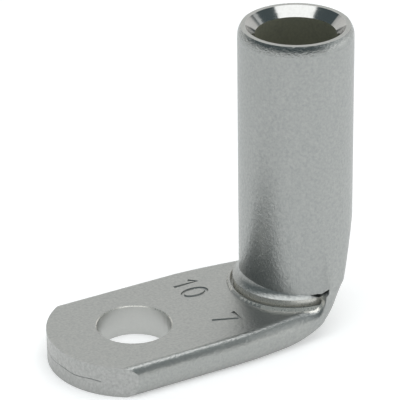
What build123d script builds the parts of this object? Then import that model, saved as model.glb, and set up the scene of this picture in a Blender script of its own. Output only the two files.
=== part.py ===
"""Angled tube lug: a copper tube pressed flat at one end and bent up at a right angle.

Millimetres, +Z up along the barrel. The origin is the centre of the stud hole on the
underside of the palm, and the barrel stands on the +X side of it.
"""
import os
from math import cos, radians, sin, sqrt, tan

from build123d import *

# Barrel: the round tube that takes the conductor
barrel_diameter = 10.0
bore_diameter = 7.0
barrel_axis_x = 16.17
overall_height = 27.38
lip_out = 0.3
lip_down = 0.9
bore_chamfer = 0.8
round_from_z = 9.65
foot_step = 0.01

# Palm: the same tube pressed flat, with the stud hole
palm_width = 13.86
palm_thickness = 2.82
palm_edge_reach = 0.85
palm_lower_reach = 0.7
bend_edge_reach = 1.2
edge_share = 0.48
hole_diameter = 6.5
hole_rim_break = 0.08
tip_reach = 7.6
tip_radius = 7.5

# Palm near the bend: where it starts to narrow and where its top starts to rise
narrow_from_x = 7.0
narrow_power = 1.5
lower_power = 2.0
rise_from_x = 14.2
rise_power = 2.0
palm_spans = 7

# Outer curve of the bend, seen from the side
bend_start_x = 11.7
bend_low_pull = 6.8
bend_high_pull = 1.2

# Heel: sections fanned about a line behind the crease, from upright to level
heel_z = 4.5
heel_inner_radius = 0.5
heel_spread = 1.15
heel_corner_radius = 1.25
heel_edge_share = 0.03
heel_spans = 5

# Foot of the barrel: level sections that grow from a flattened oval to a circle
foot_spread = 0.8
foot_corner_share = 0.532
foot_side_turn = 8.0
round_side_turn = 20.0
flare_turn = 45.0
flare_angle = 35.0
foot_width_power = 1.7
foot_corner_power = 1.15
foot_spans = 5

# Crease: where the inner wall folds round the foot of the barrel, turned about its own axis
crease_offset = 0.41
crease_core_wall = 0.4
crease_root = 0.6
collar_out = 0.2
collar_lip_height = 0.8
collar_rise = 1.1
collar_sink = 0.05
ridge_out = 0.32
pocket_out = 0.13
ridge_height = 0.27
ridge_half_width = 0.25
ridge_crest = 0.08
ridge_sink = 0.05
groove_width = 0.14
groove_depth = 0.2
groove_top = 0.4

# Cavity under the bore, which closes to a slit where the tube has been pressed
cavity_spread = 0.15
cavity_front_z = 6.0
slit_z = 4.6
slit_x = 14.9
slit_gap = 0.5

wall = (barrel_diameter - bore_diameter) / 2
barrel_radius = barrel_diameter / 2
bore_radius = bore_diameter / 2
palm_half_width = palm_width / 2
foot_radius = barrel_radius - foot_step
foot_half_width = barrel_radius + foot_spread
foot_corner_radius = barrel_radius * foot_corner_share
heel_x = barrel_axis_x - heel_inner_radius
heel_top = heel_z - heel_inner_radius
heel_half_width = barrel_radius + heel_spread
crease_axis_x = barrel_axis_x - crease_offset
crease_core = bore_radius + crease_core_wall
collar_radius = barrel_radius + collar_out
ridge_radius = collar_radius + ridge_out
pocket_radius = ridge_radius + pocket_out
cavity_radius = bore_radius + cavity_spread
back_x = barrel_axis_x + foot_radius
mouth_edge_x = barrel_axis_x + bore_radius + bore_chamfer
halvings = 50


def mix(start, end, share):
    """Value the given share of the way from start to end."""
    return start + (end - start) * share


def ease(x, start, end, power):
    """Share of the way from start to end, gathering pace by the given power."""
    return max(0.0, (x - start) / (end - start)) ** power


def bend_curve(s):
    """Point at s, from 0 to 1, on the outer curve of the elbow in the XZ plane."""
    start = Vector(bend_start_x, 0, 0)
    low = Vector(bend_start_x + bend_low_pull, 0, 0)
    high = Vector(back_x, 0, round_from_z - bend_high_pull)
    end = Vector(back_x, 0, round_from_z)
    a = 1 - s
    return start * a**3 + low * (3 * s * a**2) + high * (3 * s**2 * a) + end * s**3


def solve_on_bend(side_of):
    """Point on the outer curve where side_of(point) changes sign, by halving."""
    low = 0.0
    high = 1.0
    for _ in range(halvings):
        middle = (low + high) / 2
        if side_of(bend_curve(middle)) < 0:
            low = middle
        else:
            high = middle
    return bend_curve(low)


def bottom_at(x):
    """Height of the underside at x."""
    if x <= bend_start_x:
        return 0.0
    return solve_on_bend(lambda p: p.X - x).Z


def back_at(z):
    """Place of the back of the elbow at height z."""
    if z >= round_from_z:
        return back_x
    return solve_on_bend(lambda p: p.Z - z).X


def flipped(point):
    """The same point on the other side of the middle."""
    return (-point[0], point[1])


def half_oval(width, depth, radius, turn):
    """Lines round the outer half of a section: two sides, two corners and the end.

    Sides and end are straight where turn is 0, and otherwise bulge as arcs that turn
    by that many degrees from the middle, so the section can grow into a circle.
    """
    bow = radius * sqrt(0.5)
    if turn == 0:
        side_point = (width, depth - radius)
        corner_middle = (width - radius + bow, depth - radius + bow)
        end_point = (width - radius, depth)
        return [
            Line((width, 0), side_point),
            ThreePointArc(side_point, corner_middle, end_point),
            Line(end_point, flipped(end_point)),
            ThreePointArc(flipped(end_point), flipped(corner_middle), flipped(side_point)),
            Line(flipped(side_point), (-width, 0)),
        ]
    c = cos(radians(turn))
    s = sin(radians(turn))
    spread = s**2 - (1 - c)**2
    side_extra = ((depth - radius) * s - (width - radius) * (1 - c)) / spread
    end_extra = ((width - radius) * s - (depth - radius) * (1 - c)) / spread
    side_radius = radius + side_extra
    half_c = cos(radians(turn / 2))
    half_s = sin(radians(turn / 2))
    centre_x = end_extra * s
    centre_y = side_extra * s
    side_middle = (width - side_radius * (1 - half_c), side_radius * half_s)
    side_point = (centre_x + radius * c, centre_y + radius * s)
    corner_middle = (centre_x + bow, centre_y + bow)
    end_point = (centre_x + radius * s, centre_y + radius * c)
    return [
        ThreePointArc((width, 0), side_middle, side_point),
        ThreePointArc(side_point, corner_middle, end_point),
        ThreePointArc(end_point, (0, depth), flipped(end_point)),
        ThreePointArc(flipped(end_point), flipped(corner_middle), flipped(side_point)),
        ThreePointArc(flipped(side_point), flipped(side_middle), (-width, 0)),
    ]


def flared_front(half_width, turn):
    """Lines round the front half of the foot: an arc whose ends flare out to the sides.

    The flares start out turned inward by turn degrees; at 0 they go on along the circle.
    """
    c = cos(radians(flare_angle))
    s = sin(radians(flare_angle))
    pull = foot_radius * tan(radians(flare_angle) / 4) * 4 / 3
    side_pull = (half_width - pull * sin(radians(turn)), pull * cos(radians(turn)))
    arc_end = (foot_radius * c, foot_radius * s)
    arc_pull = (arc_end[0] + pull * s, arc_end[1] - pull * c)
    return [
        Bezier((half_width, 0), side_pull, arc_pull, arc_end),
        ThreePointArc(arc_end, (0, foot_radius), flipped(arc_end)),
        Bezier(flipped(arc_end), flipped(arc_pull), flipped(side_pull), (-half_width, 0)),
    ]


def section_plane(origin, tilt):
    """Plane across the tube's path: local X is +Y, local Y points outward."""
    direction = (-cos(radians(tilt)), 0, -sin(radians(tilt)))
    return Plane(origin=origin, x_dir=(0, 1, 0), z_dir=direction)


def front_plane(z):
    """Level plane at z whose outward direction is towards the palm."""
    return Plane(origin=(barrel_axis_x, 0, z), x_dir=(0, 1, 0), z_dir=(0, 0, 1))


def section(plane, half_width, depth, radius, turn):
    """Face across the tube's path, closed on its inner side by a straight line."""
    with BuildLine(plane):
        outline = half_oval(half_width, depth, radius, turn)
        outline.append(Line((-half_width, 0), (half_width, 0)))
    return Face(Wire(outline))


def palm_section(x):
    """Face across the palm at x, which narrows and bends up as it nears the heel."""
    narrowing = ease(x, narrow_from_x, heel_x, narrow_power)
    rising = ease(x, rise_from_x, heel_x, rise_power)
    half_width = mix(palm_half_width, heel_half_width, narrowing)
    top = mix(palm_thickness, heel_top, rising)
    depth = top - bottom_at(x)
    heel_depth = heel_top - bottom_at(heel_x)
    upper = depth * mix(edge_share, heel_edge_share, rising)
    lower = depth * mix(edge_share, heel_corner_radius / heel_depth, narrowing)
    upper_reach = mix(mix(palm_edge_reach, bend_edge_reach, narrowing), upper, rising)
    lower_reach = mix(palm_lower_reach, heel_corner_radius,
                      ease(x, narrow_from_x, heel_x, lower_power))
    upper_centre = half_width - upper_reach
    lower_centre = half_width - lower_reach
    with BuildSketch(section_plane((x, 0, top), 0)) as drawn:
        with BuildLine():
            for side, top_turn, bottom_turn in ((1, -90, 0), (-1, 180, 90)):
                EllipticalCenterArc((side * upper_centre, upper), upper_reach, upper, top_turn)
                Line((side * half_width, upper), (side * half_width, depth - lower))
                EllipticalCenterArc((side * lower_centre, depth - lower), lower_reach, lower,
                                    bottom_turn)
            Line((upper_centre, 0), (-upper_centre, 0))
            Line((lower_centre, depth), (-lower_centre, depth))
        make_face()
    return drawn.sketch.face()


def heel_section(share):
    """Face of the heel at a share of the turn, from upright at 0 to level at 1."""
    tilt = 90 * share
    pivot = Vector(heel_x, 0, heel_z)
    outward = Vector(sin(radians(tilt)), 0, -cos(radians(tilt)))
    across = Vector(-outward.Z, 0, outward.X)
    edge = solve_on_bend(lambda p: (p - pivot).dot(across))
    start = pivot + outward * heel_inner_radius
    depth = (edge - start).dot(outward)
    half_width = mix(heel_half_width, foot_half_width, share)
    radius = mix(heel_corner_radius, foot_corner_radius, share)
    return section(section_plane(start, tilt), half_width, depth, radius, foot_side_turn * share)


def foot_section(share):
    """Face of the foot at a share of its height, flat behind at 0 and round at 1."""
    z = mix(heel_z, round_from_z, share)
    widening = (1 - share) ** foot_width_power
    half_width = mix(foot_radius, foot_half_width, widening)
    radius = mix(foot_radius, foot_corner_radius, (1 - share) ** foot_corner_power)
    turn = mix(foot_side_turn, round_side_turn, share)
    with BuildLine(section_plane((barrel_axis_x, 0, z), 90)):
        back_lines = half_oval(half_width, back_at(z) - barrel_axis_x, radius, turn)
    with BuildLine(front_plane(z)):
        front_lines = flared_front(half_width, flare_turn * widening)
    return Face(Wire(back_lines + front_lines))


# Heel
with BuildPart() as heel:
    loft([heel_section(i / heel_spans) for i in range(heel_spans + 1)])

# Palm: lofted where it narrows and bends up, and straight from there to the tip
palm_step = (heel_x - narrow_from_x) / palm_spans
with BuildPart() as palm:
    loft([palm_section(narrow_from_x + i * palm_step) for i in range(palm_spans + 1)])
    extrude(palm_section(narrow_from_x), amount=narrow_from_x + tip_reach)

    # Pocket in the risen end, which leaves a cheek on either side of the crease
    with BuildSketch(Plane.XY.offset(palm_thickness - groove_depth)):
        with Locations((crease_axis_x, 0)):
            Circle(pocket_radius)
    extrude(amount=heel_z, mode=Mode.SUBTRACT)

# Foot of the barrel, with a root that ties it to the palm
with BuildPart() as foot:
    loft([foot_section(i / foot_spans) for i in range(foot_spans + 1)])
    with BuildSketch(Plane.XY.offset(palm_thickness - crease_root)):
        with Locations((barrel_axis_x, 0)):
            Circle(foot_radius)
            Rectangle(barrel_diameter, barrel_diameter, align=(Align.MAX, Align.CENTER),
                      mode=Mode.INTERSECT)
    extrude(amount=heel_z - palm_thickness + crease_root)

# Crease: a half ring, turned from one side round the front to the other
crease_plane = Plane(origin=(crease_axis_x, 0, palm_thickness), x_dir=(0, 1, 0), z_dir=(1, 0, 0))
half_turn = 180
crease_axis = Axis((crease_axis_x, 0, 0), (0, 0, 1))
collar_root = (barrel_radius - crease_offset - collar_sink, collar_lip_height + collar_rise)
collar_lip = (collar_radius, collar_lip_height)
ridge_inner = (ridge_radius - ridge_half_width, -ridge_sink)
ridge_outer = (ridge_radius + ridge_half_width, -ridge_sink)
straight_down = (0, -1)
with BuildPart() as crease:
    with BuildSketch(crease_plane):
        with BuildLine():
            Polyline((crease_core, -crease_root), (crease_core, collar_root[1]), collar_root)
            TangentArc(collar_root, collar_lip, tangent=straight_down)
            Polyline(collar_lip, (collar_radius, -ridge_sink), ridge_inner)
            Polyline(ridge_inner, (ridge_radius - ridge_crest, ridge_height),
                     (ridge_radius + ridge_crest, ridge_height), ridge_outer)
            Polyline(ridge_outer, (ridge_outer[0], -crease_root), (crease_core, -crease_root))
        make_face()
    revolve(axis=crease_axis, revolution_arc=half_turn)

# Barrel: its wall turned about its axis, with a rolled outer lip and a chamfered mouth
lip_bottom = (barrel_axis_x + barrel_radius, overall_height - lip_down)
lip_top = (barrel_axis_x + barrel_radius - lip_out, overall_height)
chamfer_bottom = (barrel_axis_x + bore_radius, overall_height - bore_chamfer)
with BuildPart() as barrel:
    with BuildSketch(Plane.XZ):
        with BuildLine():
            Polyline(chamfer_bottom, (barrel_axis_x + bore_radius, round_from_z),
                     (barrel_axis_x + barrel_radius, round_from_z), lip_bottom)
            TangentArc(lip_bottom, lip_top, tangent=(0, 1))
            Polyline(lip_top, (mouth_edge_x, overall_height), chamfer_bottom)
        make_face()
    revolve(axis=Axis((barrel_axis_x, 0, 0), (0, 0, 1)))

# Cavity: nearly round as seen from above, and closing to the slit as seen from the side
cavity_front = barrel_axis_x - bore_radius
cavity_back = barrel_axis_x + bore_radius
back_middle_z = (slit_z + round_from_z) / 2
with BuildPart() as cavity:
    with BuildSketch(Plane.XZ):
        with BuildLine():
            Polyline((cavity_back, round_from_z), (cavity_front, round_from_z),
                     (cavity_front, cavity_front_z), (slit_x - slit_gap / 2, slit_z),
                     (slit_x + slit_gap / 2, slit_z))
            ThreePointArc((slit_x + slit_gap / 2, slit_z),
                          (back_at(back_middle_z) - wall, back_middle_z),
                          (cavity_back, round_from_z))
        make_face()
    extrude(amount=cavity_radius, both=True)
    with Locations((barrel_axis_x, 0, back_middle_z)):
        Cone(cavity_radius, bore_radius, round_from_z - slit_z, mode=Mode.INTERSECT)

with BuildPart() as lug:
    add(palm.part)
    add(heel.part)
    add(foot.part)
    add(crease.part)

    # Groove under the collar
    with BuildSketch(crease_plane):
        with Locations((collar_radius, -groove_depth)):
            Rectangle(groove_width, groove_depth + groove_top, align=(Align.MIN, Align.MIN))
    revolve(axis=crease_axis, revolution_arc=half_turn, mode=Mode.SUBTRACT)

    add(barrel.part)

    add(cavity.part, mode=Mode.SUBTRACT)

    # Stud hole and the sheared tip, an arc about the hole
    with BuildSketch(Plane.XY):
        Circle(hole_diameter / 2)
    extrude(amount=palm_thickness, mode=Mode.SUBTRACT)
    hole_rim = lug.edges().filter_by(GeomType.CIRCLE).filter_by(
        lambda e: abs(e.radius - hole_diameter / 2) < foot_step).sort_by(Axis.Z)[-1]
    chamfer(hole_rim, length=hole_rim_break)
    with BuildSketch(Plane.XY):
        Rectangle(2 * tip_reach, 2 * palm_width, align=(Align.MAX, Align.CENTER))
        with Locations((tip_radius - tip_reach, 0)):
            Circle(tip_radius, mode=Mode.SUBTRACT)
    extrude(amount=palm_thickness, mode=Mode.SUBTRACT)

os.makedirs("parts", exist_ok=True)
lug.part.label = "lug"
export_step(lug.part, "parts/lug.step")
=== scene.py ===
"""Looks of the angled tube lug: bright tin plate on a pressed and bent copper tube."""
import math

import bmesh
import bpy
from mathutils import Matrix, Vector
from mathutils.kdtree import KDTree


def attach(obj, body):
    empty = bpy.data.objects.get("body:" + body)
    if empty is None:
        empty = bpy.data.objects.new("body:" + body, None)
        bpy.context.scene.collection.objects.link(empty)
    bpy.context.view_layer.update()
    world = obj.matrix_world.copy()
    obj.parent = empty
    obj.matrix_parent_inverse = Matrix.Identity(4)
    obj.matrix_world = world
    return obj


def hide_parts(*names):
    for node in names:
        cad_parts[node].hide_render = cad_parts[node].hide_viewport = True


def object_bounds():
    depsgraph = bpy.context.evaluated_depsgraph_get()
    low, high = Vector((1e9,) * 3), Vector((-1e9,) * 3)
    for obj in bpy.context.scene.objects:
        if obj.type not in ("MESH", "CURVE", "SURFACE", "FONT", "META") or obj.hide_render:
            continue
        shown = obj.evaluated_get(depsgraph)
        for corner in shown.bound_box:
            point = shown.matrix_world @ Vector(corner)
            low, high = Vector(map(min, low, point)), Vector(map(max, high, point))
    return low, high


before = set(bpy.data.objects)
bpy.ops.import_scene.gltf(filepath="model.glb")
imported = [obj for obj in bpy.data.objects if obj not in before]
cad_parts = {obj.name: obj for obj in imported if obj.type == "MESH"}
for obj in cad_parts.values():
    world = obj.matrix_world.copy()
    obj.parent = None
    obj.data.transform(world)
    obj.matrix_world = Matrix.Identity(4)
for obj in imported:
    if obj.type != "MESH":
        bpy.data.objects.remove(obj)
cad_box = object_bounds()

MM = 0.001

# Sizes of the part, as in its source
barrel_x = 16.17 * MM
bore_radius = 3.5 * MM
bore_floor = 4.6 * MM
chamfer_low = 26.58 * MM
chamfer_radius = 4.3 * MM
palm_top = 2.82 * MM
hole_radius = 3.25 * MM
hole_rim = 0.08 * MM
tip_centre = -0.10 * MM
tip_radius = 7.5 * MM
edge_start = 6.08 * MM
crease_high = 3.62 * MM
crease_end = 15.76 * MM
flank_foot = 4.50 * MM


def direction(azimuth, elevation):
    """Unit vector that a camera at this azimuth and elevation, in degrees, looks along."""
    a = math.radians(azimuth)
    e = math.radians(elevation)
    return Vector((math.sin(a) * math.cos(e), math.cos(a) * math.cos(e), -math.sin(e)))


def add_object(name, data):
    """New object in the scene."""
    thing = bpy.data.objects.new(name, data)
    bpy.context.scene.collection.objects.link(thing)
    return thing


# Camera: fitted to the outlines in the photograph
camera_azimuth = 28.715
camera_elevation = 26.984
camera_roll = -0.804
camera_distance = 0.24
camera_target = Vector((0.00617, -0.0009, 0.01366))
camera_lens = 253.3
camera_sensor = 36.0
camera_clip_start = 0.01


def add_camera():
    forward = direction(camera_azimuth, camera_elevation)
    level_right = Vector((forward.y, -forward.x, 0)).normalized()
    level_up = level_right.cross(forward)
    roll = math.radians(camera_roll)
    right = level_right * math.cos(roll) + level_up * math.sin(roll)
    up = level_up * math.cos(roll) - level_right * math.sin(roll)
    data = bpy.data.cameras.new("camera")
    data.lens = camera_lens
    data.sensor_width = camera_sensor
    data.clip_start = camera_clip_start
    camera = add_object("camera", data)
    turn = Matrix((right, up, -forward)).transposed().to_4x4()
    place = camera_target - forward * camera_distance
    camera.matrix_world = Matrix.Translation(place) @ turn
    bpy.context.scene.camera = camera


# Overhead softbox: its reach each way as a share of its height, along the camera's own directions
softbox_height = 0.30
softbox_behind = 0.30
softbox_towards = 0.58
softbox_side = 0.55
softbox_radiance = 2.2


def add_softbox():
    """Overhead area lamp, square to the camera's azimuth."""
    data = bpy.data.lights.new("softbox", "AREA")
    data.shape = "RECTANGLE"
    data.size = 2 * softbox_side * softbox_height
    data.size_y = (softbox_behind + softbox_towards) * softbox_height
    data.energy = softbox_radiance * math.pi * data.size * data.size_y
    lamp = add_object("softbox", data)
    ahead = direction(camera_azimuth, 0)
    shift = (softbox_behind - softbox_towards) / 2 * softbox_height
    lamp.location = Vector((barrel_x, 0, softbox_height)) + ahead * shift
    lamp.rotation_euler = (0, 0, -math.radians(camera_azimuth))


# Fill lamp on the camera's right, aimed at the floor on that side, which lightens the right flank
fill_distance = 0.28
fill_height = 0.06
fill_size = 0.30
fill_radiance = 0.8
fill_aim = fill_distance / 3


def add_fill():
    data = bpy.data.lights.new("fill", "AREA")
    data.size = fill_size
    data.energy = fill_radiance * math.pi * fill_size ** 2
    lamp = add_object("fill", data)
    right = direction(camera_azimuth + 90, 0)
    place = Vector((barrel_x, 0, fill_height)) + right * fill_distance
    lamp.location = place
    aim = Vector((barrel_x, 0, 0)) + right * fill_aim - place
    lamp.rotation_euler = aim.to_track_quat("-Z", "Y").to_euler()


class Nodes:
    """Short way to write nodes: add makes one, sets its properties and fills or links its inputs."""

    def __init__(self, tree):
        self.tree = tree
        tree.nodes.clear()

    def add(self, kind, inputs, **settings):
        node = self.tree.nodes.new(kind)
        for name, value in settings.items():
            setattr(node, name, value)
        for name, value in inputs.items():
            if isinstance(value, bpy.types.NodeSocket):
                self.tree.links.new(value, node.inputs[name])
            else:
                node.inputs[name].default_value = value
        return node


def new_material(name):
    material = bpy.data.materials.new(name)
    material.use_nodes = True
    return material, Nodes(material.node_tree)


def coordinates(n, kind):
    return n.add("ShaderNodeTexCoord", {}).outputs[kind]


def stretched(n, place, along):
    """Coordinates squeezed along some axes, which draws a texture out into streaks."""
    return n.add("ShaderNodeMapping", {"Vector": place, "Scale": along}).outputs[0]


def noise(n, place, scale, detail=3.0, roughness=0.6):
    return n.add("ShaderNodeTexNoise", {"Vector": place, "Scale": scale, "Detail": detail,
                                        "Roughness": roughness}).outputs["Fac"]


def spread(n, value, low, high, start=0.3, end=0.7, kind="LINEAR"):
    """Low up to start, high from end on, and a ramp of this kind between them."""
    return n.add("ShaderNodeMapRange", {"Value": value, "From Min": start, "From Max": end,
                                        "To Min": low, "To Max": high},
                 interpolation_type=kind).outputs[0]


def larger(n, first, second):
    return n.add("ShaderNodeMath", {0: first, 1: second}, operation="MAXIMUM").outputs[0]


# Sockets of a Mix node when it mixes colours
MIX_SHARE = 0
MIX_FIRST = 6
MIX_SECOND = 7
MIX_RESULT = 2


def mixed(n, share, first, second):
    """First colour where the share is 0, and second where it is 1."""
    mix = n.add("ShaderNodeMix", {MIX_SHARE: share, MIX_FIRST: (*first, 1),
                                  MIX_SECOND: (*second, 1)}, data_type="RGBA")
    return mix.outputs[MIX_RESULT]


# Studio seen in the metal: pale behind the object and at the horizon, dark on the camera's side.
# The wall fades in over these cosines of the angle from straight behind, and the horizon out over
# these sines of the height.
pale_wall = (1.06, 1.06, 1.04)
dark_side = (0.12, 0.155, 0.165)
wall_start = 0.45
wall_end = 0.65
horizon_start = 0.10
horizon_end = 0.20


def add_world():
    world = bpy.data.worlds.new("studio")
    bpy.context.scene.world = world
    world.use_nodes = True
    n = Nodes(world.node_tree)
    look = coordinates(n, "Generated")
    behind = direction(camera_azimuth, 0)
    share = n.add("ShaderNodeVectorMath", {0: look, 1: behind}, operation="DOT_PRODUCT")
    wall = spread(n, share.outputs["Value"], 0.0, 1.0, wall_start, wall_end, "SMOOTHSTEP")
    height = n.add("ShaderNodeSeparateXYZ", {0: look}).outputs["Z"]
    horizon = spread(n, height, 1.0, 0.0, horizon_start, horizon_end, "SMOOTHSTEP")
    colour = mixed(n, larger(n, wall, horizon), dark_side, pale_wall)
    studio = n.add("ShaderNodeBackground", {"Color": colour, "Strength": 1.0})
    n.add("ShaderNodeOutputWorld", {0: studio.outputs[0]})


# Cloudy colour of the metal: its cells in one metre, and its levels of detail
cloud_scale = 4200.0
cloud_detail = 5.0


def tin(name, dull, bright, rough, grain, along=(1, 1, 1), metallic=1.0):
    """Worked metal: clouds between two colours, which are glossier where they are brighter, and a
    grain of its own scale and height."""
    grain_scale, grain_height = grain
    smooth, coarse = rough
    material, n = new_material(name)
    place = coordinates(n, "Object")
    clouds = noise(n, place, cloud_scale, detail=cloud_detail)
    shade = mixed(n, spread(n, clouds, 0.0, 1.0), dull, bright)
    height = noise(n, stretched(n, place, along), grain_scale)
    bump = n.add("ShaderNodeBump", {"Height": height, "Distance": grain_height})
    shader = n.add("ShaderNodeBsdfPrincipled", {
        "Base Color": shade, "Metallic": metallic,
        "Roughness": spread(n, clouds, coarse, smooth), "Normal": bump.outputs[0]})
    n.add("ShaderNodeOutputMaterial", {0: shader.outputs[0]})
    return material


# Regions of the surface, in the order of the piece's material slots
BODY, EDGE, SHEARED, PUNCHED, TURNED, BORE, PAINTED_HIGHLIGHT, LIP = range(8)


def surfaces():
    """One material for each region."""
    return [
        tin("tin_plate_drawn", dull=(0.325, 0.337, 0.334), bright=(0.398, 0.404, 0.392),
            rough=(0.31, 0.41), grain=(4200.0, 3.6e-5), along=(1, 1, 0.6)),
        tin("tin_plate_rolled", dull=(0.33, 0.34, 0.332), bright=(0.41, 0.415, 0.40),
            rough=(0.28, 0.35), grain=(4200.0, 3e-5)),
        tin("tin_plate_sheared", dull=(0.345, 0.35, 0.34), bright=(0.46, 0.46, 0.45),
            rough=(0.30, 0.46), grain=(2600.0, 5e-5), along=(1, 1, 0.12)),
        tin("tin_plate_punched", dull=(0.51, 0.515, 0.50), bright=(0.53, 0.535, 0.515),
            rough=(0.30, 0.34), grain=(2600.0, 1.2e-5), along=(0.08, 0.08, 1)),
        tin("tin_plate_turned", dull=(0.38, 0.38, 0.37), bright=(0.41, 0.41, 0.40),
            rough=(0.10, 0.14), grain=(2400.0, 6e-6), along=(0.05, 0.05, 1)),
        tin("bore_tarnish", dull=(0.34, 0.34, 0.27), bright=(0.42, 0.42, 0.33),
            rough=(0.42, 0.52), grain=(1800.0, 2e-5), along=(1, 1, 0.06), metallic=0.5),
        # Painted highlight: a much paler, less metallic tin on the crease and on the hole's top rim,
        # standing in for the bright lines of light there
        tin("tin_plate_painted_highlight", dull=(0.60, 0.59, 0.55), bright=(0.70, 0.69, 0.64),
            rough=(0.24, 0.34), grain=(3600.0, 1e-5), metallic=0.55),
        tin("tin_plate_scuffed", dull=(0.28, 0.29, 0.285), bright=(0.36, 0.37, 0.36),
            rough=(0.12, 0.20), grain=(5600.0, 4.5e-5))]


# Bounds of the regions
seat = 0.02 * MM
lip_low = 26.45 * MM
edge_end = 14.0 * MM
crease_low = 2.60 * MM
collar_inside = 4.90 * MM
crease_reach = 6.05 * MM
bore_reach = bore_radius + 0.16 * MM

# Rise of a face's normal: below the first it is a wall, and from the others on it counts as level
wall_rise = 0.5
lip_rise = 0.9
crease_rise = 0.97


def region(centre, normal):
    """How the metal was worked where this face lies, and where a highlight is painted on it."""
    from_barrel = math.hypot(centre.x - barrel_x, centre.y)
    upright = abs(normal.z) < wall_rise
    if centre.z > lip_low and from_barrel > chamfer_radius:
        return LIP if normal.z < lip_rise else EDGE
    # Painted highlight: the sloped faces of the crease get the paler tin that stands in for the
    # bright line along its ridge
    in_crease = centre.x < crease_end and collar_inside < from_barrel < crease_reach
    if in_crease and crease_low < centre.z < crease_high and normal.z < crease_rise:
        return PAINTED_HIGHLIGHT
    inward = normal.x * (barrel_x - centre.x) - normal.y * centre.y > 0
    if inward and centre.z > bore_floor and from_barrel < chamfer_radius + seat:
        if centre.z > chamfer_low:
            return TURNED
        if from_barrel < bore_reach:
            return BORE
    from_hole = math.hypot(centre.x, centre.y)
    # Painted highlight: the sloped rim round the top of the hole gets the same paler tin, standing
    # in for the bright line along its rounded edge
    if from_hole < hole_radius + hole_rim:
        return PUNCHED if upright else PAINTED_HIGHLIGHT
    from_tip = math.hypot(centre.x - tip_centre, centre.y)
    if upright and centre.x < -hole_radius and abs(from_tip - tip_radius) < seat:
        return SHEARED
    if abs(centre.y) > edge_start and centre.x < edge_end and centre.z < palm_top:
        return EDGE
    return BODY


# Plain numbers stamped on the palm: the strokes' size, and where each figure stands
stroke_radius = 0.24 * MM
stroke_rise = 0.10 * MM
figure_height = 2.3 * MM
figure_width = 1.3 * MM
number_x = 7.3 * MM
figure_places = {"one": 4.2 * MM, "nought": 2.4 * MM, "seven": -3.0 * MM}
nought_points = 20


def figure_strokes():
    """Each figure as a line in a cell one unit wide and one unit high, and whether it is closed."""
    turn = 2 * math.pi / nought_points
    ring = [(math.cos(i * turn) / 2, math.sin(i * turn) / 2) for i in range(nought_points)]
    return {
        "one": ([(-0.3, 0.22), (0.1, 0.5), (0.1, -0.5)], False),
        "nought": (ring, True),
        "seven": ([(-0.5, 0.5), (0.5, 0.5), (-0.15, -0.5)], False)}


# Seam on the sheared end, where the two walls of the pressed tube meet
seam_z = 1.30 * MM
seam_wave = 0.07 * MM
seam_wave_turn = 19.0
seam_radius = 0.035 * MM
seam_angle = math.radians(82)
seam_points = 28


def seam_line():
    """Wavy arc along the sheared end, near the middle of its height."""
    line = []
    for i in range(seam_points):
        share = i / (seam_points - 1) - 0.5
        angle = math.pi + share * seam_angle
        line.append((tip_centre + tip_radius * math.cos(angle), tip_radius * math.sin(angle),
                     seam_z + seam_wave * math.sin(seam_wave_turn * share)))
    return line


def evaluated_mesh(thing):
    """Mesh of an object with its modifiers or its bevel worked out."""
    depsgraph = bpy.context.evaluated_depsgraph_get()
    depsgraph.update()
    return bpy.data.meshes.new_from_object(thing.evaluated_get(depsgraph))


def tube(line, closed, radius):
    """Closed tube mesh along a line."""
    curve = bpy.data.curves.new("tube", "CURVE")
    curve.dimensions = "3D"
    curve.bevel_depth = radius
    curve.bevel_resolution = 1
    curve.use_fill_caps = True
    spline = curve.splines.new("POLY")
    spline.points.add(len(line) - 1)
    spline.use_cyclic_u = closed
    for point, place in zip(spline.points, line):
        point.co = (*place, 1)
    holder = add_object("tube", curve)
    mesh = evaluated_mesh(holder)
    bpy.data.objects.remove(holder)
    return mesh


def stamp_mesh():
    """Tubes along the figures and the seam, to be cut out of the metal."""
    tubes = [tube(seam_line(), False, seam_radius)]
    for name, (line, closed) in figure_strokes().items():
        places = [(number_x + up * figure_height, figure_places[name] - across * figure_width,
                   palm_top + stroke_rise) for across, up in line]
        tubes.append(tube(places, closed, stroke_radius))
    whole = bmesh.new()
    for mesh in tubes:
        whole.from_mesh(mesh)
    bmesh.ops.recalc_face_normals(whole, faces=whole.faces)
    stamp = bpy.data.meshes.new("stamp")
    whole.to_mesh(stamp)
    whole.free()
    return stamp


# Ends of the crease, where the tube's flank folds down over the gap above the collar
flank_drop = 0.50 * MM
gap_start = 14.9 * MM
gap_end = 16.17 * MM
drop_slope = 2.5
weld_distance = 1e-6


def fold_down(shape):
    """Draw the lower edge of the tube's flank down where it hangs free over the crease."""
    hanging = []
    for point in shape.verts:
        on_edge = abs(point.co.z - flank_foot) < weld_distance
        if on_edge and gap_start < point.co.x < gap_end:
            lowest = min(face.calc_center_median().z for face in point.link_faces)
            if lowest > flank_foot - weld_distance:
                hanging.append(point)
    for point in hanging:
        share = (gap_end - point.co.x) / (gap_end - gap_start)
        point.co.z -= flank_drop * min(1.0, drop_slope * share)


def worked_copy(source):
    """Copy of the solid's mesh, closed by joining its doubled points, with the flank folded down."""
    shape = bmesh.new()
    shape.from_mesh(source)
    bmesh.ops.remove_doubles(shape, verts=shape.verts, dist=weld_distance)
    fold_down(shape)
    mesh = bpy.data.meshes.new("lug_metal")
    shape.to_mesh(mesh)
    shape.free()
    return mesh


sharp_angle = math.radians(1)


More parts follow.
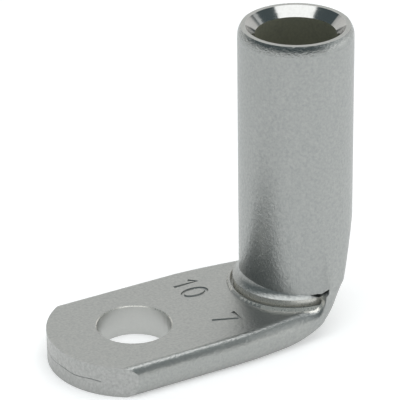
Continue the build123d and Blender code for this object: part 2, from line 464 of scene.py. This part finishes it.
def carry_normals(source, mesh):
    """Give the mesh the solid's own normals, and flat ones where the solid has no such point."""
    tree = KDTree(len(source.loops))
    for corner in source.loops:
        tree.insert(source.vertices[corner.vertex_index].co, corner.index)
    tree.balance()
    normals = [None] * len(mesh.loops)
    for face in mesh.polygons:
        for corner in face.loop_indices:
            point = mesh.vertices[mesh.loops[corner].vertex_index]
            near = [source.corner_normals[index].vector
                    for _, index, _ in tree.find_range(point.co, weld_distance)]
            normals[corner] = max(near, key=face.normal.dot, default=face.normal).copy()
    mesh.set_sharp_from_angle(angle=sharp_angle)
    mesh.normals_split_custom_set(normals)


def add_lug(source):
    """The solid's own form, with numbers and seam cut in and a material for each region."""
    piece = add_object("lug_metal", worked_copy(source.data))
    stamp = add_object("stamp", stamp_mesh())
    cut = piece.modifiers.new("stamp", "BOOLEAN")
    cut.operation = "DIFFERENCE"
    cut.solver = "EXACT"
    cut.object = stamp
    mesh = evaluated_mesh(piece)
    piece.modifiers.clear()
    piece.data = mesh
    bpy.data.objects.remove(stamp)

    mesh.materials.clear()
    for material in surfaces():
        mesh.materials.append(material)
    for face in mesh.polygons:
        face.material_index = region(face.center, face.normal)
        face.use_smooth = True
    carry_normals(source.data, mesh)
    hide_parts("lug")
    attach(piece, "root")


# Floor: pale paper, lifted to white for the camera, for reflections and for what is seen through
floor_reach = 0.6
floor_lift = 0.38
paper_dark = 0.84
paper_pale = 0.88
fibre_scale = 900.0
fibre_detail = 2.0
fibre_roughness = 0.5


def floor_paper():
    material, n = new_material("floor_paper")
    fibre = noise(n, coordinates(n, "Object"), fibre_scale, fibre_detail, fibre_roughness)
    shade = spread(n, fibre, paper_dark, paper_pale, start=0.0, end=1.0)
    paper = n.add("ShaderNodeBsdfDiffuse", {"Color": shade})
    path = n.add("ShaderNodeLightPath", {})
    seen = path.outputs["Is Camera Ray"]
    for kind in ("Is Glossy Ray", "Is Transmission Ray"):
        seen = larger(n, seen, path.outputs[kind])
    lift = n.add("ShaderNodeMath", {0: seen, 1: floor_lift}, operation="MULTIPLY")
    glow = n.add("ShaderNodeEmission", {"Strength": lift.outputs[0]})
    both = n.add("ShaderNodeAddShader", {0: paper.outputs[0], 1: glow.outputs[0]})
    n.add("ShaderNodeOutputMaterial", {0: both.outputs[0]})
    return material


def add_floor():
    mesh = bpy.data.meshes.new("floor")
    shape = bmesh.new()
    bmesh.ops.create_grid(shape, x_segments=1, y_segments=1, size=floor_reach)
    shape.to_mesh(mesh)
    shape.free()
    mesh.materials.append(floor_paper())
    floor = add_object("floor", mesh)
    floor.location = (0, 0, cad_box[0][2])


add_camera()
add_world()
add_floor()
add_softbox()
add_fill()

add_lug(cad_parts["lug"])

bpy.context.scene.view_settings.view_transform = "Standard"
